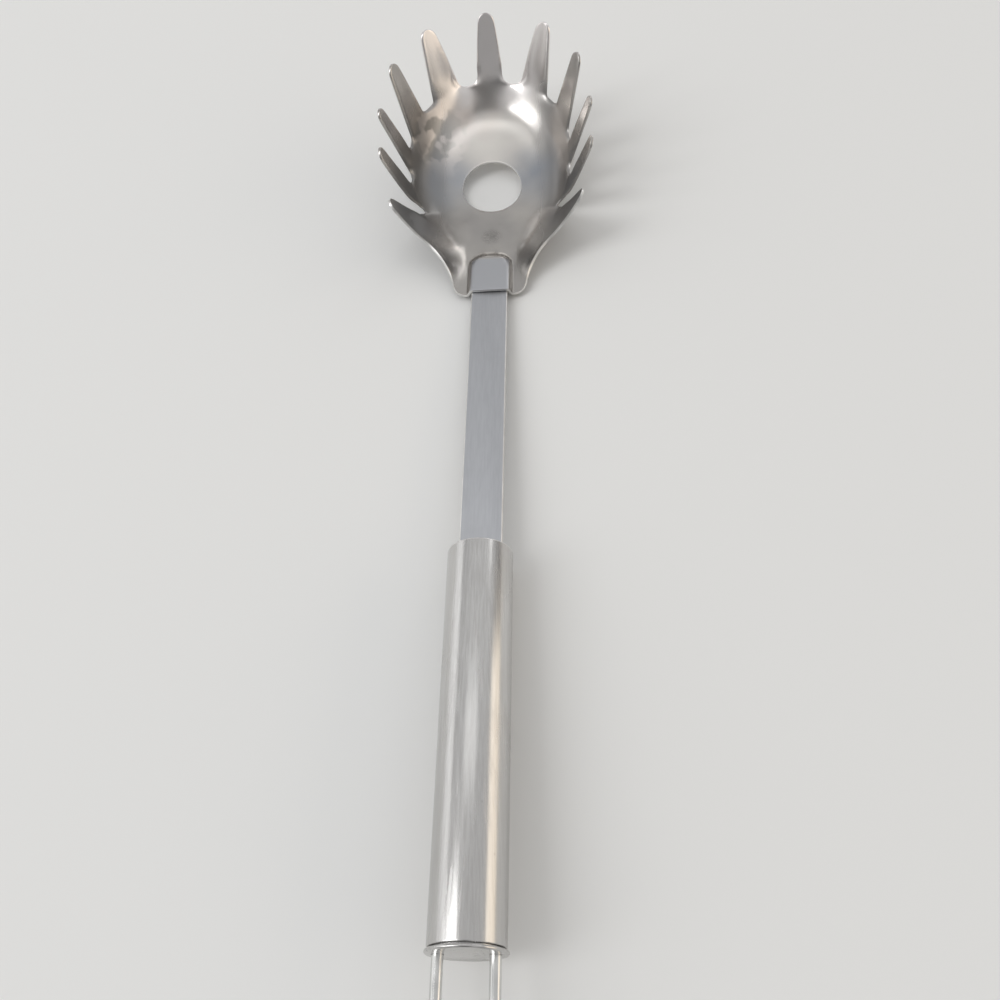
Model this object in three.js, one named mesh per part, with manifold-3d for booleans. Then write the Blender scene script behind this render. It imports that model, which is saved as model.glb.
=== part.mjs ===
// Spaghetti server: a pressed steel head with eleven tines, a flat strap shank and a tubular handle.
// Millimetres. In the server's own frame +Y runs from the hanging loop to the head, +X is to the right,
// y = 0 is the rear edge of the head's neck and z = 0 is the top face of the strap.
import * as THREE from 'three';
import { mergeVertices } from 'three/addons/utils/BufferGeometryUtils.js';
import Module from 'manifold-3d';

const wasm = await Module();
wasm.setup();

const degrees = THREE.MathUtils.degToRad;

// Handle tube
const TUBE_DIAMETER = 18;
const TUBE_WALL = 0.5;
const TUBE_LENGTH = 100;
const TUBE_RIM_ROUND = 0.25;
const ROUND_SEGMENTS = 48;

// Strap shank
const STRAP_WIDTH = 12;
const STRAP_THICKNESS = 2;
const STRAP_EDGE_ROUND = 0.3;
const SHANK_LENGTH = 100;
const TANG_LENGTH = 24;

// Slotted plug in the mouth of the tube
const PLUG_THICKNESS = 2;

// End cap
const CAP_LIP_HEIGHT = 0.45;
const CAP_LIP_THICKNESS = 0.9;
const CAP_PLUG_LENGTH = 9;
const CAP_FLOOR = 2.5;
const CAP_SKIN = 0.25;

// Hanging loop
const WIRE_DIAMETER = 2.7;
const WIRE_SIDES = 12;
const LOOP_REACH = 30;
const LOOP_LEG_STEPS = 3;
const LOOP_BEND_STEPS = 16;

// Clearances
const FIT_CLEARANCE = 0.25;
const SEAT_GAP = 0.3;

// Head sheet and measuring hole
const SHEET = 0.8;
const HOLE_RADIUS = 10.5;
const HOLE_FROM_NECK = 49.6;
const HOLE_HEIGHT = 2;

// Bowl: slopes along its spokes, which run outward from the hole's centre
const FLOOR_TILT = degrees(18.4);
const WALL_SLOPE = degrees(66.9);
const WALL_SLOPE_FRONT = degrees(10.6);
const WALL_SLOPE_SIDE = degrees(-4.1);
const FLOOR_REACH = 14.6;
const FLOOR_REACH_FRONT = 1.1;
const FLOOR_REACH_LONG = 5.6;
const FLOOR_HALF_WIDTH = 7;
const WALL_BEND = 27.5;
const FLOOR_BLEND = 2.4;

// Tines from the one in front to the last on each side: directions of their tips and of the notches between
const TIP_AZIMUTHS = [0, 30, 59, 87, 106, 132].map(degrees);
const NOTCH_AZIMUTHS = [12.6, 41.8, 72.5, 95.8, 119.9].map(degrees);
const TINE_LENGTH = 23.3;
const TINE_ROOT_WIDTH = 10;
const TINE_TIP_WIDTH = 5.4;
const TINE_TIP_SHARE = 0.54;
const TINE_TAPER = 0.8;
const TINE_TAPER_FRONT = 0.5;
const NOTCH_RADIUS = 1.5;
const NOTCH_WIDTH = 5.9;
const NOTCH_LEAST = 3.2;
const NOTCH_FILLING = 0.4;
const RIM_REACH = 31.7;
const RIM_REACH_FRONT = 9.6;

// Last tine on each side, which grows out of the wing
const WING_AZIMUTH = degrees(148);
const WING_REACH = 44;
const LAST_TINE_REACH = 54;
const WING_TAPER = 1.6;
const LAST_TINE_TIP_SHARE = 0.85;

// Neck: lobes, wing edge and the raised tab over the strap
const NECK_LAND = 0.7;
const LOBE_RADIUS = 4.5;
const WING_FULLNESS = 4.8;
const TAB_LENGTH = 16;
const TAB_CORNER = 5;
const TAB_SIDE_WALL = 1.05;
const TAB_END_WALL = 3.2;

// Folds beside the tab, where the neck's side walls start; they fade out towards the lobes
const FOLD_HALF_WIDTH = 9.2;
const FOLD_ROUND = 1.2;
const FOLD_FLARE = 0.55;
const FOLD_FLARE_FROM = 20;
const FOLD_RISE = 0.7;
const LOBE_FLAT = 3;
const LOBE_BLEND = 9;

// Mesh of the head
const TINE_COLUMNS = 4;
const WING_COLUMNS = 4;
const LOBE_COLUMNS = 4;
const TAB_COLUMNS = 5;
const BELT_ROWS = 4;
const BELT_BEHIND_TAB = 2.5;
const BELT_SHARE = 0.52;
const SPOKE_STEP = 0.5;

// Finishes
const finishes = {
  pressed: { color: 0xb9b6b2, roughness: 0.22, metalness: 1 },
  satin: { color: 0xb6b9bd, roughness: 0.42, metalness: 1 },
  polished: { color: 0xbfc1c3, roughness: 0.16, metalness: 1 },
};

const STRAP_MIDDLE = -STRAP_THICKNESS / 2;
const TUBE_FRONT = -SHANK_LENGTH;
const TUBE_REAR = TUBE_FRONT - TUBE_LENGTH;
const TUBE_BORE = TUBE_DIAMETER / 2 - TUBE_WALL;
const PLUG_RADIUS = TUBE_BORE - FIT_CLEARANCE;
const LEG_HOLE = WIRE_DIAMETER / 2 + FIT_CLEARANCE;
const LOOP_SPACING = 2 * (PLUG_RADIUS - CAP_SKIN - LEG_HOLE);

const server = new THREE.Group();

function addPiece(name, geometry, finish) {
  const mesh = new THREE.Mesh(geometry, new THREE.MeshStandardMaterial(finishes[finish]));
  mesh.name = name;
  server.add(mesh);
  return mesh;
}

function toManifold(geometry) {
  const bare = geometry.clone();
  bare.deleteAttribute('normal');
  bare.deleteAttribute('uv');
  const merged = mergeVertices(bare, 1e-4);
  return new wasm.Manifold(new wasm.Mesh({
    numProp: 3,
    vertProperties: new Float32Array(merged.attributes.position.array),
    triVerts: new Uint32Array(merged.index.array),
  }));
}

function fromManifold(solid) {
  const mesh = solid.getMesh();
  const geometry = new THREE.BufferGeometry();
  geometry.setAttribute('position', new THREE.BufferAttribute(mesh.vertProperties, 3));
  geometry.setIndex(new THREE.BufferAttribute(mesh.triVerts, 1));
  return geometry;
}

// A solid of revolution about the handle's axis, from [radius, y] points
function turned(points) {
  const profile = points.map(([radius, y]) => new THREE.Vector2(radius, y));
  return new THREE.LatheGeometry(profile, ROUND_SEGMENTS).translate(0, 0, STRAP_MIDDLE);
}

function smoothstep(value) {
  const v = THREE.MathUtils.clamp(value, 0, 1);
  return v * v * (3 - 2 * v);
}

// The larger of two heights, with the corner between them rounded over
function roundedMax(a, b, round) {
  return (a + b + Math.hypot(a - b, round)) / 2;
}

// Handle tube with softened rims
function tubeGeometry() {
  const outer = TUBE_DIAMETER / 2;
  const soft = TUBE_RIM_ROUND;
  return turned([
    [TUBE_BORE, TUBE_REAR],
    [outer - soft, TUBE_REAR],
    [outer, TUBE_REAR + soft],
    [outer, TUBE_FRONT - soft],
    [outer - soft, TUBE_FRONT],
    [TUBE_BORE, TUBE_FRONT],
    [TUBE_BORE, TUBE_REAR],
  ]);
}

// Strap: a flat bar with eased edges and rounded corners at the head end
function strapGeometry() {
  const half = STRAP_WIDTH / 2 - STRAP_EDGE_ROUND;
  const rear = TUBE_FRONT - TANG_LENGTH + STRAP_EDGE_ROUND;
  const front = TAB_LENGTH - SHEET - STRAP_EDGE_ROUND;
  const corner = TAB_CORNER - STRAP_EDGE_ROUND;
  const outline = new THREE.Shape();
  outline.moveTo(-half, rear);
  outline.lineTo(half, rear);
  outline.lineTo(half, front - corner);
  outline.absarc(half - corner, front - corner, corner, 0, Math.PI / 2);
  outline.absarc(corner - half, front - corner, corner, Math.PI / 2, Math.PI);
  outline.lineTo(-half, rear);
  const bar = new THREE.ExtrudeGeometry(outline, {
    depth: STRAP_THICKNESS - 2 * STRAP_EDGE_ROUND,
    bevelSize: STRAP_EDGE_ROUND,
    bevelThickness: STRAP_EDGE_ROUND,
    bevelSegments: 1,
    curveSegments: 6,
  });
  return bar.translate(0, 0, STRAP_EDGE_ROUND - STRAP_THICKNESS);
}

// Disc that closes the mouth of the tube around the strap
function plugGeometry() {
  const disc = new THREE.Shape();
  disc.absarc(0, 0, PLUG_RADIUS, 0, 2 * Math.PI);
  const halfWidth = STRAP_WIDTH / 2 + FIT_CLEARANCE;
  const halfHeight = STRAP_THICKNESS / 2 + FIT_CLEARANCE;
  const slot = new THREE.Path();
  slot.moveTo(-halfWidth, -halfHeight);
  slot.lineTo(-halfWidth, halfHeight);
  slot.lineTo(halfWidth, halfHeight);
  slot.lineTo(halfWidth, -halfHeight);
  slot.lineTo(-halfWidth, -halfHeight);
  disc.holes.push(slot);
  const plug = new THREE.ExtrudeGeometry(disc, {
    depth: PLUG_THICKNESS,
    bevelEnabled: false,
    curveSegments: ROUND_SEGMENTS / 2,
  });
  return plug.rotateX(Math.PI / 2).translate(0, TUBE_FRONT - TUBE_RIM_ROUND, STRAP_MIDDLE);
}

const CAP_FACE = TUBE_REAR - SEAT_GAP - CAP_LIP_THICKNESS;
const LEG_HOLE_END = TUBE_REAR + CAP_PLUG_LENGTH - CAP_FLOOR;
const LEG_END = LEG_HOLE_END - SEAT_GAP;

// Flanged cap: a plug in the tube, a rounded lip against its end, and a blind hole for each leg of the loop
function capGeometry() {
  const lip = TUBE_DIAMETER / 2 + CAP_LIP_HEIGHT;
  const seat = CAP_FACE + CAP_LIP_THICKNESS;
  const round = CAP_LIP_THICKNESS / 2;
  const profile = [[0, CAP_FACE]];
  for (let step = 0; step <= 4; step += 1) {
    const angle = -Math.PI / 2 + (Math.PI * step) / 4;
    profile.push([lip - round + round * Math.cos(angle), CAP_FACE + round + round * Math.sin(angle)]);
  }
  profile.push([PLUG_RADIUS, seat]);
  profile.push([PLUG_RADIUS, TUBE_REAR + CAP_PLUG_LENGTH]);
  profile.push([0, TUBE_REAR + CAP_PLUG_LENGTH]);
  let cap = toManifold(turned(profile));
  const depth = LEG_HOLE_END - CAP_FACE;
  for (const side of [-1, 1]) {
    const drill = new THREE.CylinderGeometry(LEG_HOLE, LEG_HOLE, 2 * depth, 2 * WIRE_SIDES);
    drill.translate((side * LOOP_SPACING) / 2, CAP_FACE, STRAP_MIDDLE);
    cap = cap.subtract(toManifold(drill));
  }
  return fromManifold(cap);
}

// Hanging loop: two straight legs and a half-round bend
class LoopPath extends THREE.Curve {
  getPoint(share, target = new THREE.Vector3()) {
    const radius = LOOP_SPACING / 2;
    const bendCentre = CAP_FACE - LOOP_REACH + WIRE_DIAMETER / 2 + radius;
    const position = share * (2 * LOOP_LEG_STEPS + LOOP_BEND_STEPS);
    const legs = THREE.MathUtils.clamp(position / LOOP_LEG_STEPS, 0, 1);
    const tail = Math.max(0, position - LOOP_LEG_STEPS - LOOP_BEND_STEPS) / LOOP_LEG_STEPS;
    const bend = THREE.MathUtils.clamp((position - LOOP_LEG_STEPS) / LOOP_BEND_STEPS, 0, 1) * Math.PI;
    const leg = LEG_END - bendCentre;
    return target.set(
      -radius * Math.cos(bend),
      bendCentre + leg * (1 - legs + tail) - radius * Math.sin(bend),
      STRAP_MIDDLE,
    );
  }

  // Steps are spaced by this path's own count, not by its length
  getUtoTmapping(share) {
    return share;
  }
}

function loopGeometry() {
  const section = new THREE.Shape();
  const around = [];
  for (let side = 0; side < WIRE_SIDES; side += 1) {
    const angle = (2 * Math.PI * side) / WIRE_SIDES;
    around.push(new THREE.Vector2(Math.cos(angle), Math.sin(angle)).multiplyScalar(WIRE_DIAMETER / 2));
  }
  section.setFromPoints(around);
  return new THREE.ExtrudeGeometry(section, {
    steps: 2 * LOOP_LEG_STEPS + LOOP_BEND_STEPS,
    extrudePath: new LoopPath(),
  });
}

// Levels of the middle of the head's sheet: the lobes lie flush with the strap's underside, the tab on its top
const FLANK_LEVEL = -STRAP_THICKNESS + SHEET / 2;
const TAB_LEVEL = FIT_CLEARANCE + SHEET / 2;
const TAB_HALF_WIDTH = STRAP_WIDTH / 2 + FIT_CLEARANCE;
const TAB_FOOT_HALF_WIDTH = TAB_HALF_WIDTH + TAB_SIDE_WALL;
const TAB_FOOT_END = TAB_LENGTH + TAB_END_WALL;
const LOBE_CENTRE = TAB_FOOT_HALF_WIDTH + NECK_LAND;
const BELT = TAB_FOOT_END + BELT_BEHIND_TAB;

// Slopes along one spoke of the bowl, at an azimuth counted from the front
function spokeSlopes(azimuth) {
  const front = Math.cos(azimuth);
  const long = Math.cos(2 * azimuth);
  const across = front > 0 ? 1 : Math.max(Math.abs(Math.sin(azimuth)), 1e-3);
  const reach = FLOOR_REACH + FLOOR_REACH_FRONT * front + FLOOR_REACH_LONG * long;
  return {
    floor: Math.atan(Math.tan(FLOOR_TILT) * front),
    wall: WALL_SLOPE + WALL_SLOPE_FRONT * front + WALL_SLOPE_SIDE * long,
    start: roundedMax(reach, FLOOR_HALF_WIDTH / across, 1),
  };
}

// Level of the neck: flat under the tab and on the lobes, rising outside the folds
function neckLevel(x, y) {
  const fold = FOLD_HALF_WIDTH + FOLD_FLARE * Math.max(0, y - FOLD_FLARE_FROM);
  const past = roundedMax(Math.abs(x) - fold, 0, FOLD_ROUND);
  return FLANK_LEVEL + FOLD_RISE * past * smoothstep((y - LOBE_FLAT) / LOBE_BLEND);
}

// Walks out along a spoke in small steps; stepShare says how much of the next step is still wanted
function walkSpoke(azimuth, stepShare) {
  const { floor, wall, start } = spokeSlopes(azimuth);
  let length = 0;
  let radius = 0;
  let height = HOLE_HEIGHT;
  for (;;) {
    const slope = floor + (wall - floor) * smoothstep((length + SPOKE_STEP / 2 - start) / WALL_BEND);
    const outward = Math.cos(slope) * SPOKE_STEP;
    const share = Math.min(1, stepShare(length, radius, outward));
    radius += share * outward;
    height += share * Math.sin(slope) * SPOKE_STEP;
    length += share * SPOKE_STEP;
    if (share < 1) {
      const level = neckLevel(radius * Math.sin(azimuth), HOLE_FROM_NECK + radius * Math.cos(azimuth));
      return { radius, height: roundedMax(height, level, FLOOR_BLEND) };
    }
  }
}

// Point of the sheet at a length along a spoke
function spokePoint(length, azimuth) {
  const { radius, height } = walkSpoke(azimuth, (gone) => (length - gone) / SPOKE_STEP);
  return new THREE.Vector3(
    radius * Math.sin(azimuth),
    HOLE_FROM_NECK + radius * Math.cos(azimuth),
    height,
  );
}

// Distance outside a tab outline that is open towards the handle
function tabDistance(x, y, halfWidth, end, corner) {
  const across = Math.abs(x) - (halfWidth - corner);
  const along = y - (end - corner);
  const rounded = Math.hypot(Math.max(across, 0), Math.max(along, 0));
  return rounded + Math.min(Math.max(across, along), 0) - corner;
}

// How far the raised tab lifts the sheet, from 0 on the lobes to 1 on the tab
function tabLift(x, y) {
  const top = tabDistance(x, y, TAB_HALF_WIDTH, TAB_LENGTH, TAB_CORNER);
  const foot = tabDistance(x, y, TAB_FOOT_HALF_WIDTH, TAB_FOOT_END, TAB_CORNER + TAB_SIDE_WALL);
  if (top <= 0) {
    return 1;
  }
  return foot >= 0 ? 0 : foot / (foot - top);
}

// Point of the sheet over a place in the plan
function planPoint(x, y) {
  const away = Math.hypot(x, y - HOLE_FROM_NECK);
  const azimuth = Math.atan2(x, y - HOLE_FROM_NECK);
  const { height } = walkSpoke(azimuth, (gone, radius, outward) => (away - radius) / outward);
  return new THREE.Vector3(x, y, THREE.MathUtils.lerp(height, TAB_LEVEL, tabLift(x, y)));
}

function rimReach(azimuth) {
  return RIM_REACH + RIM_REACH_FRONT * Math.cos(azimuth);
}

function planRadius(reach, azimuth) {
  const { radius } = walkSpoke(azimuth, (gone) => (reach - gone) / SPOKE_STEP);
  return radius;
}

// Lengths along the neck where its rows of points lie, from the belt behind the hole to the neck's edge
function neckRowLengths() {
  const straight = TAB_LENGTH - TAB_CORNER;
  const wall = [1, 0.7, 0.35].map((share) => TAB_LENGTH + TAB_END_WALL * share);
  const corner = [1, 0.9, 0.75, 0.55, 0.3, 0].map((share) => straight + TAB_CORNER * share);
  return [BELT, ...wall, ...corner, straight * 0.66, straight * 0.33, 0];
}

const NECK_ROWS = neckRowLengths();
const ROWS = BELT_ROWS + NECK_ROWS.length - 1;

// Columns of the head on its right-hand side, from the front tine round to the middle of the neck.
// Each holds points of the sheet's middle from the hole's edge outward.
const columns = [];
const tines = [];

// A column along a spoke; wingShare gathers its rows as the neck's rows are
function addSpokeColumn(azimuth, reach, wingShare) {
  const column = [];
  for (let row = 0; row <= ROWS; row += 1) {
    const inner = (BELT_SHARE * row) / BELT_ROWS;
    const outer = BELT_SHARE + ((1 - BELT_SHARE) * (row - BELT_ROWS)) / (ROWS - BELT_ROWS);
    const gathered = row < BELT_ROWS ? inner : outer;
    const share = THREE.MathUtils.lerp(row / ROWS, gathered, wingShare);
    column.push(spokePoint(HOLE_RADIUS + (reach - HOLE_RADIUS) * share, azimuth));
  }
  columns.push(column);
}

// Gap at a notch: what the tines' full width leaves of the pitch there, within limits
function notchGap(count) {
  const azimuth = NOTCH_AZIMUTHS[count];
  const pitch = (TIP_AZIMUTHS[count + 1] - TIP_AZIMUTHS[count]) * planRadius(rimReach(azimuth), azimuth);
  return THREE.MathUtils.clamp(pitch - TINE_ROOT_WIDTH, NOTCH_LEAST, NOTCH_WIDTH);
}

// A tine's columns across its root; sides are their azimuths and reaches their lengths along the spokes
function addTineColumns(sides, reaches, wingShares, measures) {
  const onRight = sides.filter((side) => side > -1e-9).length;
  tines.push({ ...measures, sides, reaches, column: columns.length + onRight - sides.length });
  sides.forEach((side, index) => {
    if (side > -1e-9) {
      addSpokeColumn(side, reaches[index], wingShares[index]);
    }
  });
}

const acrossShares = Array.from({ length: TINE_COLUMNS + 1 }, (_, step) => step / TINE_COLUMNS);

// An ordinary tine, from one notch to the next, with a fillet on each side; returns where its root ends
function addTine(count) {
  const before = count > 0 ? NOTCH_AZIMUTHS[count - 1] : -NOTCH_AZIMUTHS[0];
  const after = NOTCH_AZIMUTHS[count];
  const gapBefore = notchGap(Math.max(count - 1, 0));
  const gapAfter = notchGap(count);
  const fillet = Math.min(NOTCH_RADIUS, NOTCH_FILLING * gapBefore, NOTCH_FILLING * gapAfter);
  const middle = (before + after) / 2;
  const radius = planRadius(rimReach(middle), middle);
  const start = before + (gapBefore / 2 - fillet) / radius;
  const end = after - (gapAfter / 2 - fillet) / radius;
  const sides = acrossShares.map((share) => THREE.MathUtils.lerp(start, end, share));
  const azimuth = TIP_AZIMUTHS[count];
  const width = (end - start) * radius - 2 * fillet;
  const tip = Math.min(TINE_TIP_WIDTH, TINE_TIP_SHARE * width) / 2;
  const measures = { azimuth, width, tip, fillet, reach: rimReach(azimuth) + TINE_LENGTH };
  addTineColumns(sides, sides.map(rimReach), sides.map(() => 0), measures);
  return end;
}

// The last tine has a wide root, from its notch to where the wing's edge begins
function addLastTine(start) {
  const sides = acrossShares.map((share) => THREE.MathUtils.lerp(start, WING_AZIMUTH, share));
  const reaches = acrossShares.map((share) => (
    THREE.MathUtils.lerp(rimReach(start), WING_REACH, smoothstep(share))
  ));
  const measures = {
    azimuth: TIP_AZIMUTHS.at(-1),
    width: TINE_TIP_WIDTH,
    tip: (TINE_TIP_WIDTH * LAST_TINE_TIP_SHARE) / 2,
    fillet: 0,
    reach: LAST_TINE_REACH,
  };
  addTineColumns(sides, reaches, acrossShares, measures);
}

// Outer ends of the rear columns: along the wing's edge, round the lobe and across the neck
function rearEnds() {
  const wing = spokePoint(WING_REACH, WING_AZIMUTH);
  const side = LOBE_CENTRE + LOBE_RADIUS;
  const edge = new THREE.QuadraticBezierCurve(
    new THREE.Vector2(wing.x, wing.y),
    new THREE.Vector2(side, LOBE_RADIUS + WING_FULLNESS),
    new THREE.Vector2(side, LOBE_RADIUS),
  );
  const ends = [];
  for (let step = 1; step <= WING_COLUMNS; step += 1) {
    ends.push(edge.getPoint(step / WING_COLUMNS));
  }
  for (let step = 1; step <= LOBE_COLUMNS; step += 1) {
    const angle = (Math.PI / 2) * (step / LOBE_COLUMNS);
    const corner = new THREE.Vector2(Math.cos(angle), -Math.sin(angle)).multiplyScalar(LOBE_RADIUS);
    ends.push(corner.add(new THREE.Vector2(LOBE_CENTRE, LOBE_RADIUS)));
  }
  ends.push(new THREE.Vector2(TAB_FOOT_HALF_WIDTH, 0));
  for (let step = TAB_COLUMNS; step >= 0; step -= 1) {
    ends.push(new THREE.Vector2((TAB_HALF_WIDTH * step) / TAB_COLUMNS, 0));
  }
  return ends;
}

// Columns behind the hole: in from the outer end to the belt, then round into the hole's edge
function addRearColumns() {
  const ends = rearEnds();
  const wingBelt = spokePoint(HOLE_RADIUS + (WING_REACH - HOLE_RADIUS) * BELT_SHARE, WING_AZIMUTH);
  const turn = WING_COLUMNS + LOBE_COLUMNS;
  const belt = new THREE.QuadraticBezierCurve(
    new THREE.Vector2(wingBelt.x, wingBelt.y),
    new THREE.Vector2((wingBelt.x + LOBE_CENTRE) / 2, BELT),
    new THREE.Vector2(LOBE_CENTRE, BELT),
  );
  ends.forEach((end, index) => {
    const azimuth = THREE.MathUtils.lerp(WING_AZIMUTH, Math.PI, (index + 1) / ends.length);
    const spoke = new THREE.Vector2(Math.sin(azimuth), Math.cos(azimuth));
    const ring = new THREE.Vector2(0, HOLE_FROM_NECK).addScaledVector(spoke, planRadius(HOLE_RADIUS, azimuth));
    const knee = index < turn ? belt.getPoint((index + 1) / turn) : new THREE.Vector2(end.x, BELT);
    const lean = knee.clone().sub(end).normalize();
    const handle = ring.distanceTo(knee) / 3;
    const inner = new THREE.CubicBezierCurve(
      ring,
      ring.clone().addScaledVector(spoke, handle),
      knee.clone().addScaledVector(lean, handle),
      knee,
    );
    const column = [];
    for (let row = 0; row < BELT_ROWS; row += 1) {
      const place = inner.getPoint(row / BELT_ROWS);
      column.push(planPoint(place.x, place.y));
    }
    for (const length of NECK_ROWS) {
      const place = end.clone().lerp(knee, length / BELT);
      column.push(planPoint(place.x, place.y));
    }
    columns.push(column);
  });
}

// Points and corner numbers of the sheet's middle surface, faces seen anticlockwise from inside the bowl
const points = [];
const corners = [];

function addPoints(list) {
  return list.map((point) => points.push(point) - 1);
}

// Joins two rows of points; each quad is split along its shorter diagonal
function joinRows(inner, outer) {
  for (let step = 0; step + 1 < inner.length; step += 1) {
    const [a, b, c, d] = [inner[step], inner[step + 1], outer[step + 1], outer[step]];
    if (points[a].distanceTo(points[c]) < points[b].distanceTo(points[d])) {
      corners.push(a, b, c, a, c, d);
    } else {
      corners.push(a, b, d, b, c, d);
    }
  }
}

// Half the width of a tine at a length from its root
function tineHalfWidth(length, whole, tine) {
  const { azimuth, width, tip, fillet } = tine;
  const fullness = TINE_TAPER + TINE_TAPER_FRONT * Math.cos(azimuth);
  const taper = THREE.MathUtils.lerp(width / 2, tip, (length / whole) ** fullness);
  const flare = length < fillet ? fillet - Math.sqrt(fillet ** 2 - (fillet - length) ** 2) : 0;
  return taper + flare;
}

// Share of the width left where the tip is rounded
function tipShare(left, tip) {
  const into = THREE.MathUtils.clamp(1 - left / tip, 0, 1);
  return Math.sqrt(1 - into ** 2);
}

// Lengths of a tine's rows: close together in the fillet and round the tip
function tineRows(whole, tip, fillet) {
  const flare = fillet > 0 ? [0.25 * fillet, 0.6 * fillet, fillet] : [];
  const blade = [0.25, 0.5, 0.75, 1].map((share) => THREE.MathUtils.lerp(fillet, whole - tip, share));
  return [...flare, ...blade, whole - 0.5 * tip, whole - 0.13 * tip];
}

// Blade of one tine, outward from its root row; mirror is -1 on the left-hand side
function addBlade(tine, root, mirror) {
  const { sides, reaches, tip, fillet } = tine;
  const middle = (sides[0] + sides[TINE_COLUMNS]) / 2;
  const rootReach = reaches[TINE_COLUMNS / 2];
  const whole = tine.reach - rootReach;
  let inner = root;
  for (const length of tineRows(whole, tip, fillet)) {
    const share = length / whole;
    const centre = THREE.MathUtils.lerp(middle, tine.azimuth, share);
    const radius = planRadius(rootReach + length, centre);
    const half = tineHalfWidth(length, whole, tine) / radius;
    let front = centre - half;
    let rear = centre + half;
    if (fillet === 0) {
      front = THREE.MathUtils.lerp(sides[0], tine.azimuth - half, share);
      rear = THREE.MathUtils.lerp(tine.azimuth + half, sides[TINE_COLUMNS], (1 - share) ** WING_TAPER);
    }
    const narrowing = tipShare(whole - length, tip);
    const row = acrossShares.map((across, step) => {
      const side = THREE.MathUtils.lerp(front, rear, 0.5 + (across - 0.5) * narrowing);
      const reach = THREE.MathUtils.lerp(reaches[step], tine.reach, share);
      return spokePoint(reach, side).multiply(new THREE.Vector3(mirror, 1, 1));
    });
    const outer = addPoints(mirror < 0 ? row.reverse() : row);
    joinRows(inner, outer);
    inner = outer;
  }
  const [end] = addPoints([spokePoint(tine.reach, tine.azimuth).multiply(new THREE.Vector3(mirror, 1, 1))]);
  for (let step = 0; step < TINE_COLUMNS; step += 1) {
    corners.push(inner[step], inner[step + 1], end);
  }
}

// The bowl and neck: a closed ring of columns, the left-hand ones mirrored; returns its outermost row
function addRing() {
  const mirror = new THREE.Vector3(-1, 1, 1);
  const left = columns.slice(1, -1).reverse();
  const mirrored = left.map((column) => column.map((point) => point.clone().multiply(mirror)));
  const ring = [...columns, ...mirrored];
  let inner = null;
  for (let row = 0; row <= ROWS; row += 1) {
    const outer = addPoints(ring.map((column) => column[row]));
    if (inner) {
      joinRows([...inner, inner[0]], [...outer, outer[0]]);
    }
    inner = outer;
  }
  return inner;
}

// Gives the middle surface the thickness of the sheet and closes its edges
function thickened() {
  const middle = new THREE.BufferGeometry().setFromPoints(points);
  middle.setIndex(corners);
  middle.computeVertexNormals();
  const normal = new THREE.Vector3();
  const vertices = [];
  for (const side of [SHEET / 2, -SHEET / 2]) {
    points.forEach((point, index) => {
      normal.fromBufferAttribute(middle.attributes.normal, index);
      vertices.push(point.clone().addScaledVector(normal, side));
    });
  }
  const below = points.length;
  const faces = [];
  const openEdges = new Map();
  for (let first = 0; first < corners.length; first += 3) {
    const [a, b, c] = corners.slice(first, first + 3);
    faces.push(a, b, c, c + below, b + below, a + below);
    for (const [from, to] of [[a, b], [b, c], [c, a]]) {
      if (!openEdges.delete(`${to} ${from}`)) {
        openEdges.set(`${from} ${to}`, [from, to]);
      }
    }
  }
  for (const [from, to] of openEdges.values()) {
    faces.push(from, from + below, to + below, from, to + below, to);
  }
  const geometry = new THREE.BufferGeometry().setFromPoints(vertices);
  geometry.setIndex(faces);
  return geometry;
}

// Head: a bowl with a hole, tines round its rim and a neck with two lobes and a raised tab
function headGeometry() {
  let rootEnd = 0;
  NOTCH_AZIMUTHS.forEach((notch, count) => {
    rootEnd = addTine(count);
    addSpokeColumn(notch, rimReach(notch), 0);
  });
  addLastTine(2 * NOTCH_AZIMUTHS.at(-1) - rootEnd);
  addRearColumns();
  const rim = addRing();
  for (const tine of tines) {
    const numbers = tine.sides.map((_, step) => tine.column + step);
    addBlade(tine, numbers.map((number) => rim.at(number)), 1);
    if (tine.column > 0) {
      addBlade(tine, numbers.map((number) => rim[rim.length - number]).reverse(), -1);
    }
  }
  return thickened();
}

// Angle that lays the server down on the front of its tube and the floor of its head
function restTilt(head) {
  const tubeBottom = STRAP_MIDDLE - TUBE_DIAMETER / 2;
  const position = head.attributes.position;
  let least = Math.PI / 2;
  for (let index = 0; index < position.count; index += 1) {
    const rise = Math.atan2(position.getZ(index) - tubeBottom, position.getY(index) - TUBE_FRONT);
    least = Math.min(least, rise);
  }
  return least;
}

const head = headGeometry();
addPiece('server_head', head, 'pressed');
addPiece('shank_strap', strapGeometry(), 'satin');
addPiece('handle_tube', tubeGeometry(), 'polished');
addPiece('front_plug', plugGeometry(), 'satin');
addPiece('end_cap', capGeometry(), 'polished');
addPiece('hanging_loop', loopGeometry(), 'polished');

// The server lies on a flat surface at z = 0, with its middle over the origin
server.rotation.x = -restTilt(head);
server.updateMatrixWorld(true);
const box = new THREE.Box3().setFromObject(server, true);
server.position.set(-(box.min.x + box.max.x) / 2, -(box.min.y + box.max.y) / 2, -box.min.z);
server.updateMatrixWorld(true);

export default server;
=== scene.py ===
"""Looks of a steel spaghetti server: pressed head, strap shank, tube handle, end cap and hanging loop."""
import math

import bmesh
import bpy
from mathutils import Matrix, Vector


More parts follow.
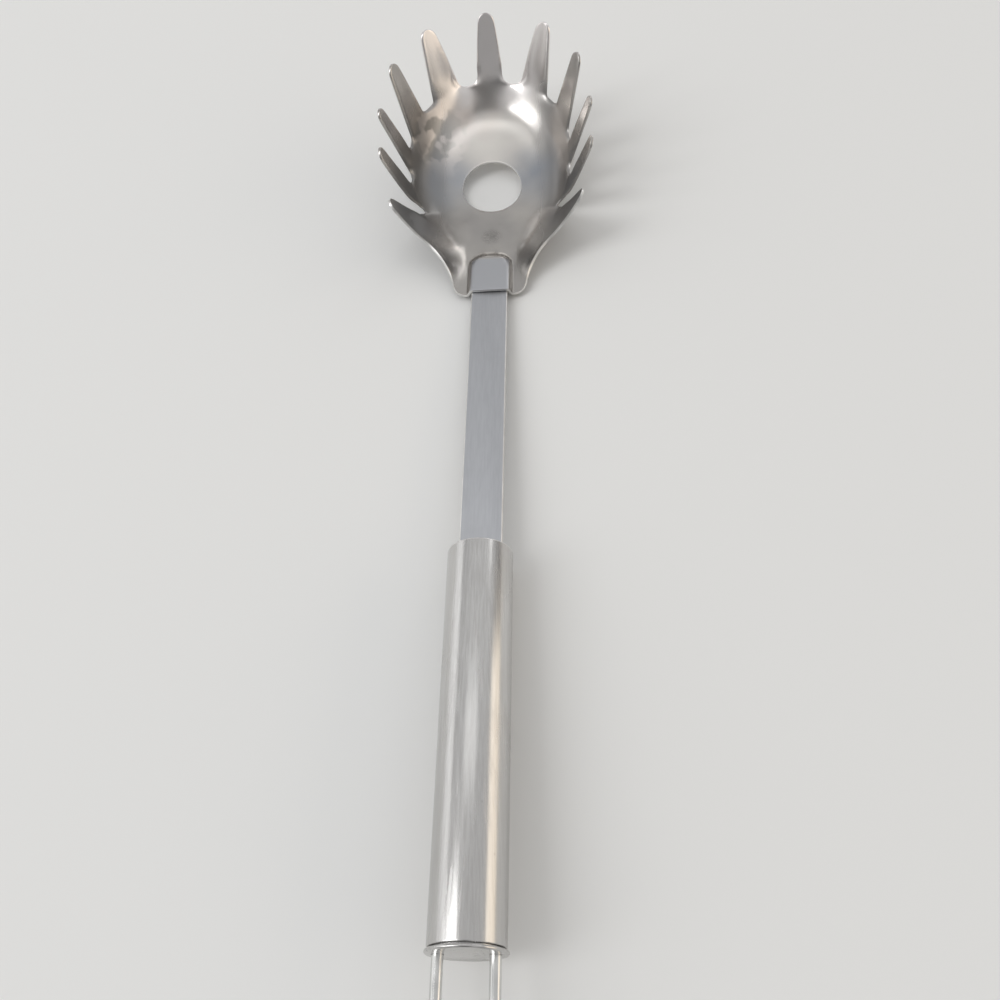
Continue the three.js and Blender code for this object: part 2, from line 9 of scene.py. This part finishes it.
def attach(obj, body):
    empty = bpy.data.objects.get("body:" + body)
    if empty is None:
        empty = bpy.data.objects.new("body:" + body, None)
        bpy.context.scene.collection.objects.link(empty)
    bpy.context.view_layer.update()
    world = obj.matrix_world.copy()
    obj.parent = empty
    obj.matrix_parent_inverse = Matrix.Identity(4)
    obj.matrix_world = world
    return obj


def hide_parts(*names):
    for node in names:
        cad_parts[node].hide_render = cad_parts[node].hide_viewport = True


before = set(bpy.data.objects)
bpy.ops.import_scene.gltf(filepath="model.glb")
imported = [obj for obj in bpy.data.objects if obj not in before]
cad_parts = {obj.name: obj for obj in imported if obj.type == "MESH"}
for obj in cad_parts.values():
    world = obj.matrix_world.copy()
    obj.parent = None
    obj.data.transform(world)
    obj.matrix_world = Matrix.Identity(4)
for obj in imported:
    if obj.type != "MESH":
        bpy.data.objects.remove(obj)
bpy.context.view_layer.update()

MM = 0.001

# Sizes of the server in its own frame: y = 0 at the neck's rear edge, z = 0 on the strap's top face
SHEET = 0.8
SHEET_EDGE_ROUND = 0.18
HOLE_FROM_NECK = 49.6
STRAP_WIDTH = 12
STRAP_THICKNESS = 2
STRAP_REAR = -124
STRAP_FRONT = 15.2
STRAP_CORNER = 5
STRAP_EDGE_ROUND = 0.35
HANDLE_AXIS = -STRAP_THICKNESS / 2
TUBE_RADIUS = 9
TUBE_WALL = 0.5
TUBE_FRONT = -100
TUBE_REAR = -200
TUBE_RIM_ROUND = 0.4
FIT_CLEARANCE = 0.25
SEAT_GAP = 0.3
CAP_LIP = 0.45
CAP_LIP_THICKNESS = 0.9
CAP_FACE = TUBE_REAR - SEAT_GAP - CAP_LIP_THICKNESS
CAP_PLUG_END = TUBE_REAR + 9
CAP_FLOOR = 2.5
CAP_HOLE_CLEARANCE = 0.12
CAP_HOLE_DEPTH = 6
WIRE_RADIUS = 1.35
LOOP_HALF_SPACING = 6.4
LOOP_REACH = 30
LEG_END = CAP_PLUG_END - CAP_FLOOR - SEAT_GAP

# Folds beside the tab: where they are smoothed, and how often
TAB_FOOT = 19
FOLD_REAR = 3
FOLD_FRONT = 42
FOLD_INNER = 8.3
FOLD_OUTER = 22
FOLD_SMOOTHING = 16

# Roots of the tines: the oval line that they stand on, zones about it, spacings of points, and how often
ROOTS_ACROSS = 26
ROOTS_ALONG = 36.8
ROOTS_ABOVE = 11
NOTCH_ZONE = (0.85, 1.08)
NOTCH_SPACING = 1.6
NOTCH_SMOOTHING = 10
ROW_ZONE = (0.9, 1.08)
ROW_SPACING = 0.8
ROW_SMOOTHING = 10
ROOT_ZONE = (0.86, 1.1)
ROOT_SMOOTHING = 6

# Photo camera: sensor and focal length in millimetres
SENSOR = 36
FOCAL_LENGTH = SENSOR * 0.975

# How the server lies: tipped head-down on the front of its tube, and shifted over the origin
REST = Matrix.Translation((0, 0.067715, 0.003519)) @ Matrix.Rotation(math.radians(-3.7042), 4, "X")

# Turns a flat circle to face along the handle
FACING_REAR = Matrix.Rotation(math.pi / 2, 4, "X")


def finished(name, bm, steel, node, smooth_angle=40):
    """Turns a bmesh in the server's own millimetres into a piece that stands for a CAD node."""
    bmesh.ops.transform(bm, matrix=REST @ Matrix.Scale(MM, 4), verts=bm.verts)
    return placed(name, bm, steel, node, smooth_angle)


def placed(name, bm, steel, node, smooth_angle):
    """Turns a bmesh in metres, already in its place, into a piece that stands for a CAD node."""
    mesh = bpy.data.meshes.new(name)
    bm.to_mesh(mesh)
    bm.free()
    mesh.materials.append(steel.material)
    mesh.shade_smooth()
    mesh.set_sharp_from_angle(angle=math.radians(smooth_angle))
    piece = bpy.data.objects.new(name, mesh)
    bpy.context.scene.collection.objects.link(piece)
    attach(piece, "root")
    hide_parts(node)
    return piece


class Socket:
    """A shader value that can be used in Python sums."""

    def __init__(self, shader, output):
        self.shader = shader
        self.output = output

    def maths(self, operation, *values):
        return self.shader.node("ShaderNodeMath", {"operation": operation}, dict(enumerate(values)))

    def __add__(self, other):
        return self.maths("ADD", self, other)

    __radd__ = __add__

    def __mul__(self, other):
        return self.maths("MULTIPLY", self, other)

    __rmul__ = __mul__

    def __sub__(self, other):
        return self.maths("SUBTRACT", self, other)

    def __rsub__(self, other):
        return self.maths("SUBTRACT", other, self)

    def magnitude(self):
        return self.maths("ABSOLUTE", self)

    def between(self, low, high):
        """0 below low, 1 above high, eased between them."""
        settings = {"interpolation_type": "SMOOTHSTEP"}
        return self.shader.node("ShaderNodeMapRange", settings, {0: self, 1: low, 2: high, 3: 0.0, 4: 1.0})


class Shader:
    """Makes and links the nodes of one node tree."""

    def __init__(self, tree, coordinate):
        self.tree = tree
        self.place = self.node("ShaderNodeTexCoord", {}, {}, coordinate)

    def node(self, kind, settings, inputs, output=0):
        made = self.tree.nodes.new(kind)
        for key, value in settings.items():
            setattr(made, key, value)
        for key, value in inputs.items():
            self.feed(made.inputs[key], value)
        return Socket(self, made.outputs[output])

    def feed(self, socket, value):
        if isinstance(value, Socket):
            self.tree.links.new(value.output, socket)
        else:
            socket.default_value = value

    def along(self, axis):
        """Part of the place along X, Y or Z."""
        return self.node("ShaderNodeSeparateXYZ", {}, {0: self.place}, axis)


class Steel(Shader):
    """One steel finish, on Object coordinates in metres."""

    def __init__(self, slot):
        self.slot = slot
        self.material = bpy.data.materials.new(f"{slot}_finish")
        self.material.use_nodes = True
        super().__init__(self.material.node_tree, "Object")
        self.surface = self.tree.nodes["Principled BSDF"]

    def moved(self, scale=(1, 1, 1), shift=(0, 0, 0), turn=(0, 0, 0)):
        inputs = {"Vector": self.place, "Scale": scale, "Location": shift, "Rotation": turn}
        return self.node("ShaderNodeMapping", {}, inputs)

    def noise(self, size, detail=2.0, roughness=0.5, scale=(1, 1, 1), shift=(0, 0, 0)):
        """Cloudy values about size metres apart, stretched by scale."""
        inputs = {"Vector": self.moved(scale, shift), "Scale": 1 / size}
        inputs.update({"Detail": detail, "Roughness": roughness})
        return self.node("ShaderNodeTexNoise", {}, inputs, "Fac")

    def spots(self, size, shift=(0, 0, 0)):
        """Distance from scattered points about size metres apart."""
        inputs = {"Vector": self.moved(shift=shift), "Scale": 1 / size, "Randomness": 1.0}
        return self.node("ShaderNodeTexVoronoi", {}, inputs, "Distance")

    def mixed(self, share, first, second):
        """Colour from first to second as share goes from 0 to 1."""
        return self.node("ShaderNodeMix", {"data_type": "RGBA"}, {0: share, 6: first, 7: second}, 2)

    def near(self, centre, size):
        """1 at a place given in metres, falling to 0 over size."""
        settings = {"operation": "DISTANCE"}
        offset = self.node("ShaderNodeVectorMath", settings, {0: self.place, 1: centre}, "Value")
        return 1 - offset.between(0.0, size)

    def finish(self, colour, roughness, relief):
        """Joins a colour, a roughness and a relief in metres to the surface."""
        self.surface.inputs["Metallic"].default_value = 1.0
        self.feed(self.surface.inputs["Base Color"], colour)
        self.feed(self.surface.inputs["Roughness"], roughness)
        inputs = {"Height": relief, "Strength": 1.0, "Distance": 1.0}
        bump = self.node("ShaderNodeBump", {}, inputs, "Normal")
        self.feed(self.surface.inputs["Normal"], bump)
        return self


def world_point(x, y, z):
    """Place in metres of a point in the server's own millimetres."""
    return tuple(REST @ (Vector((x, y, z)) * MM))


def pressed_steel():
    """Polished pressing: slightly wavy, bluish beside the hole, warm at the front left, with a smudge and
    fine scratches. Painted shade darkens its sides and its left side, a painted highlight lies on the floor
    in front of the hole, painted light brightens the front of the bowl and its tines except for a painted
    dark reflection at the middle tine's root, and painted whitish reflections lie on the left. The raised
    tab keeps the satin of the flat sheet."""
    steel = Steel("pressed_steel")
    clouds = steel.noise(0.018, 2.0, 0.5)
    blotches = steel.noise(0.011, 1.0, 0.4, shift=(0.31, 0.12, 0.05))
    waves = steel.noise(0.012, 0.0, shift=(0.13, 0.07, 0.21))
    hair = steel.noise(0.0007, 2.0, 0.6, scale=(1.0, 0.06, 1.0))
    cross_hair = steel.noise(0.0006, 2.0, 0.6, scale=(0.06, 1.0, 1.0), shift=(0.07, 0.02, 0.0))
    across = steel.along("X").magnitude()
    tab = (1 - across.between(0.0058, 0.0068)) * (1 - steel.along("Y").between(0.0815, 0.0835))
    colour = steel.mixed(clouds.between(0.3, 0.7), (0.41, 0.395, 0.382, 1), (0.53, 0.508, 0.48, 1))
    # painted shade: the bowl's sides below the tines are painted darker
    walls = across.between(0.013, 0.022) * (1 - steel.along("Z").between(0.018, 0.027))
    colour = steel.mixed(walls * 0.85, colour, (0.29, 0.282, 0.275, 1))
    # painted shade: the left side below the tines is painted darker still
    left = (steel.along("X") * -1).between(0.008, 0.02) * (1 - steel.along("Z").between(0.016, 0.026))
    colour = steel.mixed(left * 0.35, colour, (0.12, 0.12, 0.12, 1))
    # painted highlight: a lighter pool on the bowl's floor in front of the hole
    bright = steel.near(world_point(-2, 69, 7), 0.024)
    # painted light: the front of the bowl and its tines are painted lighter, less so at the middle tine's
    # root, where a darker spot stands for a painted reflection
    front_root = steel.near(world_point(0, 84.5, 17), 0.01)
    front = steel.along("Y").between(0.144, 0.152) * (1 - front_root * 0.6)
    colour = steel.mixed(bright, colour, (0.77, 0.74, 0.7, 1))
    colour = steel.mixed(front * 0.9, colour, (0.86, 0.825, 0.815, 1))
    blue = steel.near(world_point(-15, 52, 4), 0.016) + steel.near(world_point(15, 54, 4), 0.016)
    colour = steel.mixed(blue * (0.5 + blotches.between(0.2, 0.7) * 0.5), colour, (0.3, 0.32, 0.355, 1))
    # painted reflections: whitish patches on the left of the bowl
    patches = steel.noise(0.008, 2.0, 0.6, shift=(0.5, 0.2, 0.3)).between(0.46, 0.56)
    mottled = steel.near(world_point(-16, 72, 9), 0.022) * patches
    colour = steel.mixed(mottled * 0.8, colour, (0.74, 0.69, 0.665, 1))
    warm = steel.near(world_point(-8, 80, 14), 0.016) * blotches.between(0.3, 0.7)
    colour = steel.mixed(warm * 0.6, colour, (0.6, 0.52, 0.46, 1))
    colour = steel.mixed(tab, colour, (0.5, 0.51, 0.535, 1))
    smudge = steel.near(world_point(0, 27.5, -1), 0.005) * steel.noise(0.002, 2.0, 0.6).between(0.25, 0.6)
    colour = steel.mixed(smudge * 0.8, colour, (0.24, 0.23, 0.22, 1))
    specks = 1 - steel.spots(0.006).between(0.035, 0.06)
    speck_area = steel.noise(0.015, 1.0, 0.5, shift=(0.2, 0.4, 0.1)).between(0.55, 0.7)
    colour = steel.mixed(specks * speck_area * 0.4, colour, (0.3, 0.29, 0.28, 1))
    roughness = 0.19 + clouds * 0.08 + tab * 0.14 + walls * 0.08 + smudge * 0.12
    relief = hair * 3e-6 + cross_hair * 2e-6 + waves * (1 - tab) * 1.6e-4
    return steel.finish(colour, roughness, relief)


def cut_edge():
    """Sheared edge of the sheet with fine tool lines across it, painted lighter as a highlight."""
    steel = Steel("pressed_steel")
    lines = steel.noise(0.0004, 2.0, 0.6, scale=(1.0, 1.0, 0.2))
    dull = steel.noise(0.005, 2.0, 0.5)
    # painted highlight: the edge is coloured lighter than the faces beside it
    colour = steel.mixed(dull.between(0.3, 0.7), (0.68, 0.67, 0.65, 1), (0.8, 0.79, 0.77, 1))
    return steel.finish(colour, 0.28 + lines * 0.1, lines * 2e-6)


def satin_steel():
    """Flat bar with a fine lengthwise grain, a few dark specks and faint handling marks."""
    steel = Steel("satin_steel")
    grain = steel.noise(0.0006, 3.0, 0.65, scale=(1.0, 0.03, 1.0))
    marks = steel.noise(0.014, 3.0, 0.6, shift=(0.11, 0.3, 0.0))
    specks = 1 - steel.spots(0.007).between(0.03, 0.055)
    speck_area = steel.noise(0.02, 1.0, 0.5, shift=(0.4, 0.1, 0.2)).between(0.5, 0.65)
    colour = steel.mixed(grain.between(0.3, 0.7), (0.48, 0.49, 0.515, 1), (0.52, 0.53, 0.555, 1))
    colour = steel.mixed(marks.between(0.5, 0.75) * 0.3, colour, (0.44, 0.45, 0.47, 1))
    colour = steel.mixed(specks * speck_area * 0.7, colour, (0.22, 0.21, 0.2, 1))
    roughness = 0.34 + grain * 0.08 + marks.between(0.5, 0.75) * 0.06
    return steel.finish(colour, roughness, grain * 2e-6)


def tube_steel():
    """Polished tube with fine lengthwise scratches, rubbed patches and a few nicks, darker towards its rear
    end.
    """
    steel = Steel("tube_steel")
    grain = steel.noise(0.0005, 3.0, 0.65, scale=(1.0, 0.025, 1.0))
    scratches = steel.noise(0.0011, 1.0, 0.5, scale=(1.0, 0.02, 1.0), shift=(0.3, 0.2, 0.1))
    scratches = scratches.between(0.6, 0.72)
    rubbed = steel.noise(0.012, 4.0, 0.65, scale=(1.0, 0.35, 1.0), shift=(0.02, 0.5, 0.0))
    nicks = 1 - steel.spots(0.008, (0.1, 0.2, 0.3)).between(0.02, 0.045)
    colour = steel.mixed(grain.between(0.3, 0.7), (0.58, 0.57, 0.56, 1), (0.66, 0.655, 0.645, 1))
    colour = steel.mixed(rubbed.between(0.5, 0.72) * 0.4, colour, (0.5, 0.485, 0.47, 1))
    colour = steel.mixed(nicks * 0.4, colour, (0.35, 0.34, 0.33, 1))
    # darker towards the rear end of the handle
    rear_darkening = 1 - steel.along("Y").between(-0.12, -0.05)
    colour = steel.mixed(rear_darkening * 0.35, colour, (0.42, 0.41, 0.4, 1))
    roughness = 0.17 + grain * 0.08 + rubbed.between(0.45, 0.75) * 0.12 + scratches * 0.1
    return steel.finish(colour, roughness, grain * 3e-6 + scratches * 3e-6)


def wire_steel():
    """Drawn wire: polished, with fine draw lines and slight dulling."""
    steel = Steel("wire_steel")
    lines = steel.noise(0.0005, 2.0, 0.6, scale=(1.0, 0.04, 1.0))
    dull = steel.noise(0.006, 2.0, 0.5)
    colour = steel.mixed(dull.between(0.35, 0.65), (0.6, 0.6, 0.59, 1), (0.68, 0.68, 0.67, 1))
    return steel.finish(colour, 0.15 + lines * 0.08 + dull.between(0.5, 0.7) * 0.08, lines * 2e-6)


def sheet_side(bm):
    """Faces of the head's upper side: all that can be reached without crossing its sharp edges."""
    before_tab = Vector(world_point(0, 24, 0))
    start = min(bm.faces, key=lambda face: (face.calc_center_median() - before_tab).length)
    reached = {start}
    waiting = [start]
    while waiting:
        face = waiting.pop()
        for edge in face.edges:
            for other in edge.link_faces:
                if other not in reached and face.normal.angle(other.normal) < math.radians(72):
                    reached.add(other)
                    waiting.append(other)
    return reached


def smoothed(bm, verts):
    """Moves points halfway to the middle of their neighbours."""
    bmesh.ops.smooth_vert(bm, verts=verts, factor=0.5, use_axis_x=True, use_axis_y=True, use_axis_z=True)


def nearest_spacing(vert):
    """Distance in millimetres to the nearest joined point."""
    return min(edge.calc_length() for edge in vert.link_edges) / MM


def smooth_folds(bm):
    """Evens out the folds beside and before the tab, over a smaller area each time."""
    inside = [vert for vert in bm.verts if not vert.is_boundary]
    tab_end = world_point(0, TAB_FOOT, 0)[1]
    for step in range(FOLD_SMOOTHING):
        rear = world_point(0, FOLD_REAR + step / 6, 0)[1]
        front = world_point(0, FOLD_FRONT - step / 2, 0)[1]
        inner = (FOLD_INNER + step / 8) * MM
        outer = (FOLD_OUTER - step / 4) * MM
        belt = [vert for vert in inside if rear < vert.co.y < front and abs(vert.co.x) < outer]
        smoothed(bm, [vert for vert in belt if abs(vert.co.x) > inner or vert.co.y > tab_end])


def root_place(vert):
    """1 on the oval line where the tines leave the bowl, less inside it and more out along the tines."""
    centre = world_point(0, HOLE_FROM_NECK, 0)
    return math.hypot(vert.co.x / ROOTS_ACROSS, (vert.co.y - centre[1]) / ROOTS_ALONG) / MM


def about_roots(verts, zone):
    low, high = zone
    return [vert for vert in verts if low < root_place(vert) < high]


def ease_notches(bm):
    """Rounds the notches between the tines along the sheet's edge, without bending the sheet."""
    edge_points = about_roots([vert for vert in bm.verts if vert.is_boundary], NOTCH_ZONE)
    notches = [vert for vert in edge_points if nearest_spacing(vert) < NOTCH_SPACING]
    bm.normal_update()
    for _ in range(NOTCH_SMOOTHING):
        shifts = []
        for vert in notches:
            beside = [edge.other_vert(vert).co for edge in vert.link_edges if edge.is_boundary]
            shift = (beside[0] + beside[1]) / 4 - vert.co / 2
            shifts.append(shift - vert.normal * shift.dot(vert.normal))
        for vert, shift in zip(notches, shifts):
            vert.co += shift


def smooth_roots(bm):
    """Spreads the close rows where the tines leave the bowl, then evens out the bend there,
    over a smaller area each time."""
    inside = [vert for vert in bm.verts if not vert.is_boundary and vert.co.z > ROOTS_ABOVE * MM]
    close = [vert for vert in about_roots(inside, ROW_ZONE) if nearest_spacing(vert) < ROW_SPACING]
    for _ in range(ROW_SMOOTHING):
        smoothed(bm, close)
    low, high = ROOT_ZONE
    for step in range(ROOT_SMOOTHING):
        smoothed(bm, about_roots(inside, (low + step / 50, high - step / 100)))


def server_head(steel, edge_steel):
    """The pressing: its upper side is smoothed, then gets the sheet's thickness and rounded edges."""
    bm = bmesh.new()
    bm.from_mesh(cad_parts["server_head"].data)
    bmesh.ops.remove_doubles(bm, verts=bm.verts, dist=1e-6)
    keep = sheet_side(bm)
    bmesh.ops.delete(bm, geom=[face for face in bm.faces if face not in keep], context="FACES")
    bmesh.ops.join_triangles(
        bm, faces=bm.faces, angle_face_threshold=math.radians(50), angle_shape_threshold=math.radians(80)
    )
    smooth_folds(bm)
    ease_notches(bm)
    smooth_roots(bm)
    head = placed("pressed_head", bm, steel, "server_head", 60)
    head.data.materials.append(edge_steel.material)
    smooth = head.modifiers.new("smooth", "SUBSURF")
    smooth.levels = 2
    smooth.render_levels = 2
    sheet = head.modifiers.new("sheet", "SOLIDIFY")
    sheet.thickness = SHEET * MM
    sheet.offset = -1
    sheet.material_offset_rim = 1
    edges = head.modifiers.new("edges", "BEVEL")
    edges.width = SHEET_EDGE_ROUND * MM
    edges.segments = 2
    edges.limit_method = "ANGLE"
    edges.angle_limit = math.radians(50)
    return head


def rounded(bm, edges, width, segments):
    """Rounds edges over by a width in millimetres."""
    bmesh.ops.bevel(
        bm, geom=edges, offset=width, offset_type="OFFSET", segments=segments, profile=0.5,
        affect="EDGES", material=-1, clamp_overlap=True,
    )


def shank_strap(steel, edge_steel):
    """Flat bar with a round-cornered front end under the tab and softly rounded edges, painted lighter as a
    highlight.
    """
    bm = bmesh.new()
    size = (STRAP_WIDTH, STRAP_FRONT - STRAP_REAR, STRAP_THICKNESS)
    middle = (0, (STRAP_FRONT + STRAP_REAR) / 2, -STRAP_THICKNESS / 2)
    bmesh.ops.create_cube(bm, size=1, matrix=Matrix.Translation(middle) @ Matrix.Diagonal((*size, 1)))
    upright = [
        edge for edge in bm.edges
        if all(abs(vert.co.y - STRAP_FRONT) < 1e-4 for vert in edge.verts)
        and abs(edge.verts[0].co.z - edge.verts[1].co.z) > 1
    ]
    rounded(bm, upright, STRAP_CORNER, 8)
    around = [edge for edge in bm.edges if abs(edge.verts[0].co.z - edge.verts[1].co.z) < 1e-4]
    rounded(bm, around, STRAP_EDGE_ROUND, 3)
    # the sides and rounded edges take the edge finish, painted lighter as a highlight
    for face in bm.faces:
        face.material_index = int(abs(face.normal.z) < 0.99)
    strap = finished("flat_strap", bm, steel, "shank_strap")
    strap.data.materials.append(edge_steel.material)
    return strap


def turned(points, steps=96):
    """A full turn of a profile, given as (radius, y), about the handle's axis."""
    bm = bmesh.new()
    verts = [bm.verts.new((radius, y, HANDLE_AXIS)) for radius, y in points]
    edges = [bm.edges.new(pair) for pair in zip(verts, verts[1:])]
    if Vector(points[0]) == Vector(points[-1]):
        bmesh.ops.remove_doubles(bm, verts=bm.verts, dist=1e-6)
        edges = list(bm.edges)
    bmesh.ops.spin(
        bm, geom=[*bm.verts, *edges], cent=(0, 0, HANDLE_AXIS), axis=(0, 1, 0), angle=2 * math.pi,
        steps=steps, use_merge=True,
    )
    bmesh.ops.remove_doubles(bm, verts=bm.verts, dist=1e-5)
    bmesh.ops.recalc_face_normals(bm, faces=bm.faces)
    return bm


def only(kind, items):
    """The points, or the edges, of what an operator made."""
    return [item for item in items if isinstance(item, kind)]


def arc(radius, y, size, start, end, steps):
    """Points of an arc in a turned profile, by angles in degrees."""
    turns = [math.radians(start + (end - start) * step / steps) for step in range(steps + 1)]
    return [(radius + size * math.cos(turn), y + size * math.sin(turn)) for turn in turns]


def handle_tube(steel, edge_steel):
    """Round tube with a rim at its mouth painted lighter as a highlight."""
    bore = TUBE_RADIUS - TUBE_WALL
    soft = TUBE_RIM_ROUND
    profile = [
        *arc(TUBE_RADIUS - soft, TUBE_REAR + soft, soft, -90, 0, 4),
        *arc(TUBE_RADIUS - soft, TUBE_FRONT - soft, soft, 0, 90, 6),
        (bore, TUBE_FRONT),
        (bore, TUBE_REAR),
    ]
    bm = turned([*profile, profile[0]])
    # the rim at the mouth takes the edge finish, painted lighter as a highlight
    for face in bm.faces:
        face.material_index = int(face.calc_center_median().y > TUBE_FRONT - soft)
    tube = finished("round_tube", bm, steel, "handle_tube")
    tube.data.materials.append(edge_steel.material)
    return tube


def end_cap(steel):
    """Cap with a plug, a rounded lip, a flat face and a hole for each leg of the loop."""
    outer = TUBE_RADIUS + CAP_LIP
    half = CAP_LIP_THICKNESS / 2
    plug = TUBE_RADIUS - TUBE_WALL - FIT_CLEARANCE
    profile = [
        (outer - half, CAP_FACE),
        *arc(outer - half, CAP_FACE + half, half, -90, 90, 8),
        (plug, CAP_FACE + CAP_LIP_THICKNESS),
        (plug, CAP_PLUG_END),
        (0, CAP_PLUG_END),
    ]
    bm = turned(profile)
    rim = [edge for edge in bm.edges if edge.is_boundary]
    holes = []
    for side in (-1, 1):
        place = Matrix.Translation((side * LOOP_HALF_SPACING, CAP_FACE, HANDLE_AXIS))
        made = bmesh.ops.create_circle(
            bm, segments=32, radius=WIRE_RADIUS + CAP_HOLE_CLEARANCE, matrix=place @ FACING_REAR
        )
        holes.append({edge for vert in made["verts"] for edge in vert.link_edges})
    bmesh.ops.triangle_fill(bm, edges=[*rim, *holes[0], *holes[1]], use_beauty=True, use_dissolve=False)
    for hole in holes:
        ring = bmesh.ops.extrude_edge_only(bm, edges=list(hole))["geom"]
        bmesh.ops.translate(bm, verts=only(bmesh.types.BMVert, ring), vec=(0, CAP_HOLE_DEPTH, 0))
        bmesh.ops.contextual_create(bm, geom=only(bmesh.types.BMEdge, ring))
    bmesh.ops.recalc_face_normals(bm, faces=bm.faces)
    return finished("flanged_cap", bm, steel, "end_cap", 35)


def hanging_loop(steel):
    """Bent wire: a half-round bend with a straight leg on each side."""
    bm = bmesh.new()
    bend = CAP_FACE - LOOP_REACH + WIRE_RADIUS + LOOP_HALF_SPACING
    start = Matrix.Translation((LOOP_HALF_SPACING, bend, HANDLE_AXIS))
    ring = bmesh.ops.create_circle(bm, segments=32, radius=WIRE_RADIUS, matrix=start @ FACING_REAR)["verts"]
    first = list({edge for vert in ring for edge in vert.link_edges})
    swept = bmesh.ops.spin(
        bm, geom=[*ring, *first], cent=(0, bend, HANDLE_AXIS), axis=(0, 0, -1), angle=math.pi, steps=48
    )["geom_last"]
    for loop in (first, only(bmesh.types.BMEdge, swept)):
        leg = bmesh.ops.extrude_edge_only(bm, edges=loop)["geom"]
        bmesh.ops.translate(bm, verts=only(bmesh.types.BMVert, leg), vec=(0, LEG_END - bend, 0))
        bmesh.ops.contextual_create(bm, geom=only(bmesh.types.BMEdge, leg))
    bmesh.ops.recalc_face_normals(bm, faces=bm.faces)
    return finished("wire_loop", bm, steel, "hanging_loop")


def pale_floor():
    """Plain pale floor under the server."""
    bm = bmesh.new()
    bmesh.ops.create_grid(bm, x_segments=1, y_segments=1, size=3.0)
    mesh = bpy.data.meshes.new("floor")
    bm.to_mesh(mesh)
    bm.free()
    floor = bpy.data.objects.new("floor", mesh)
    bpy.context.scene.collection.objects.link(floor)
    material = bpy.data.materials.new("pale_floor")
    material.use_nodes = True
    surface = material.node_tree.nodes["Principled BSDF"]
    surface.inputs["Base Color"].default_value = (0.8, 0.8, 0.79, 1)
    surface.inputs["Roughness"].default_value = 0.8
    mesh.materials.append(material)


def soft_light(name, place, target, size, power, colour=(1, 1, 1)):
    """A panel of light turned towards a target; size in metres, power in watts."""
    lamp = bpy.data.lights.new(name, "AREA")
    lamp.shape = "RECTANGLE"
    lamp.size, lamp.size_y = size
    lamp.energy = power
    lamp.color = colour
    light = bpy.data.objects.new(name, lamp)
    light.location = place
    light.rotation_euler = (Vector(target) - Vector(place)).to_track_quat("-Z", "Y").to_euler()
    bpy.context.scene.collection.objects.link(light)


def sky():
    """Plain grey surround: darker at the horizon, and high up behind the camera."""
    world = bpy.data.worlds.new("studio")
    world.use_nodes = True
    shader = Shader(world.node_tree, "Generated")
    up = shader.along("Z")
    behind = (shader.along("Y") * -1).between(0.0, 0.4) * up.between(0.25, 0.5)
    behind = behind * (1 - shader.along("X").magnitude().between(0.06, 0.38))
    strength = (0.2 + up.between(0.0, 0.72) * 0.46) * (1 - behind * 0.75)
    shader.feed(world.node_tree.nodes["Background"].inputs["Color"], (1, 1, 1, 1))
    shader.feed(world.node_tree.nodes["Background"].inputs["Strength"], strength)
    bpy.context.scene.world = world


def studio():
    """Floor, surround and soft panels, with one window that gives the bright spot in the bowl."""
    pale_floor()
    sky()
    soft_light("ceiling", (-0.1, 0.38, 1.2), (-0.1, 0.38, 0), (0.8, 0.28), 0.4)
    soft_light("window", (-1.96, -0.57, 2.18), (0, 0.14, 0), (1.2, 2.0), 27)
    soft_light("left_panel", (-2.5, 0.41, 0.67), (0, 0.41, 0.05), (3.9, 1.3), 12.5)
    soft_light("right_panel", (2.5, -0.13, 0.74), (0, -0.13, 0.05), (2.94, 1.46), 16, (1.0, 0.87, 0.71))
    soft_light("far_panel", (0.33, 2.65, 0.74), (0.33, 0.1, 0), (4.2, 0.66), 6.3)
    soft_light("corner_panel", (1.47, 2.37, 1.45), (0, 0.08, 0), (1.0, 0.75), 2.9)
    soft_light("near_panel", (0, -2.64, 0.48), (0, 0.1, 0.05), (2.0, 0.88), 0.45)
    bpy.context.scene.view_settings.view_transform = "Standard"


def photo_camera():
    """Camera at the photograph's place, given in the server's own frame."""
    lens = bpy.data.cameras.new("photo")
    lens.sensor_width = SENSOR
    lens.lens = FOCAL_LENGTH
    lens.clip_start = 0.01
    right = Vector((0.9965, 0.0192, -0.0809))
    forward = Vector((-0.0780, 0.5534, -0.8292))
    forward = (forward - right * forward.dot(right)).normalized()
    up = right.cross(forward).normalized()
    basis = Matrix((right, up, -forward)).transposed().to_4x4()
    basis.translation = Vector((26.7, -236.1, 229.4)) * MM
    camera = bpy.data.objects.new("photo", lens)
    camera.matrix_world = REST @ basis
    bpy.context.scene.collection.objects.link(camera)
    bpy.context.scene.camera = camera


photo_camera()
studio()
satin = satin_steel()
polished = tube_steel()
highlighted_edge = cut_edge()
server_head(pressed_steel(), highlighted_edge)
shank_strap(satin, highlighted_edge)
handle_tube(polished, highlighted_edge)
end_cap(polished)
hanging_loop(wire_steel())
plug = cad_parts["front_plug"]
plug.data.materials.clear()
plug.data.materials.append(satin.material)
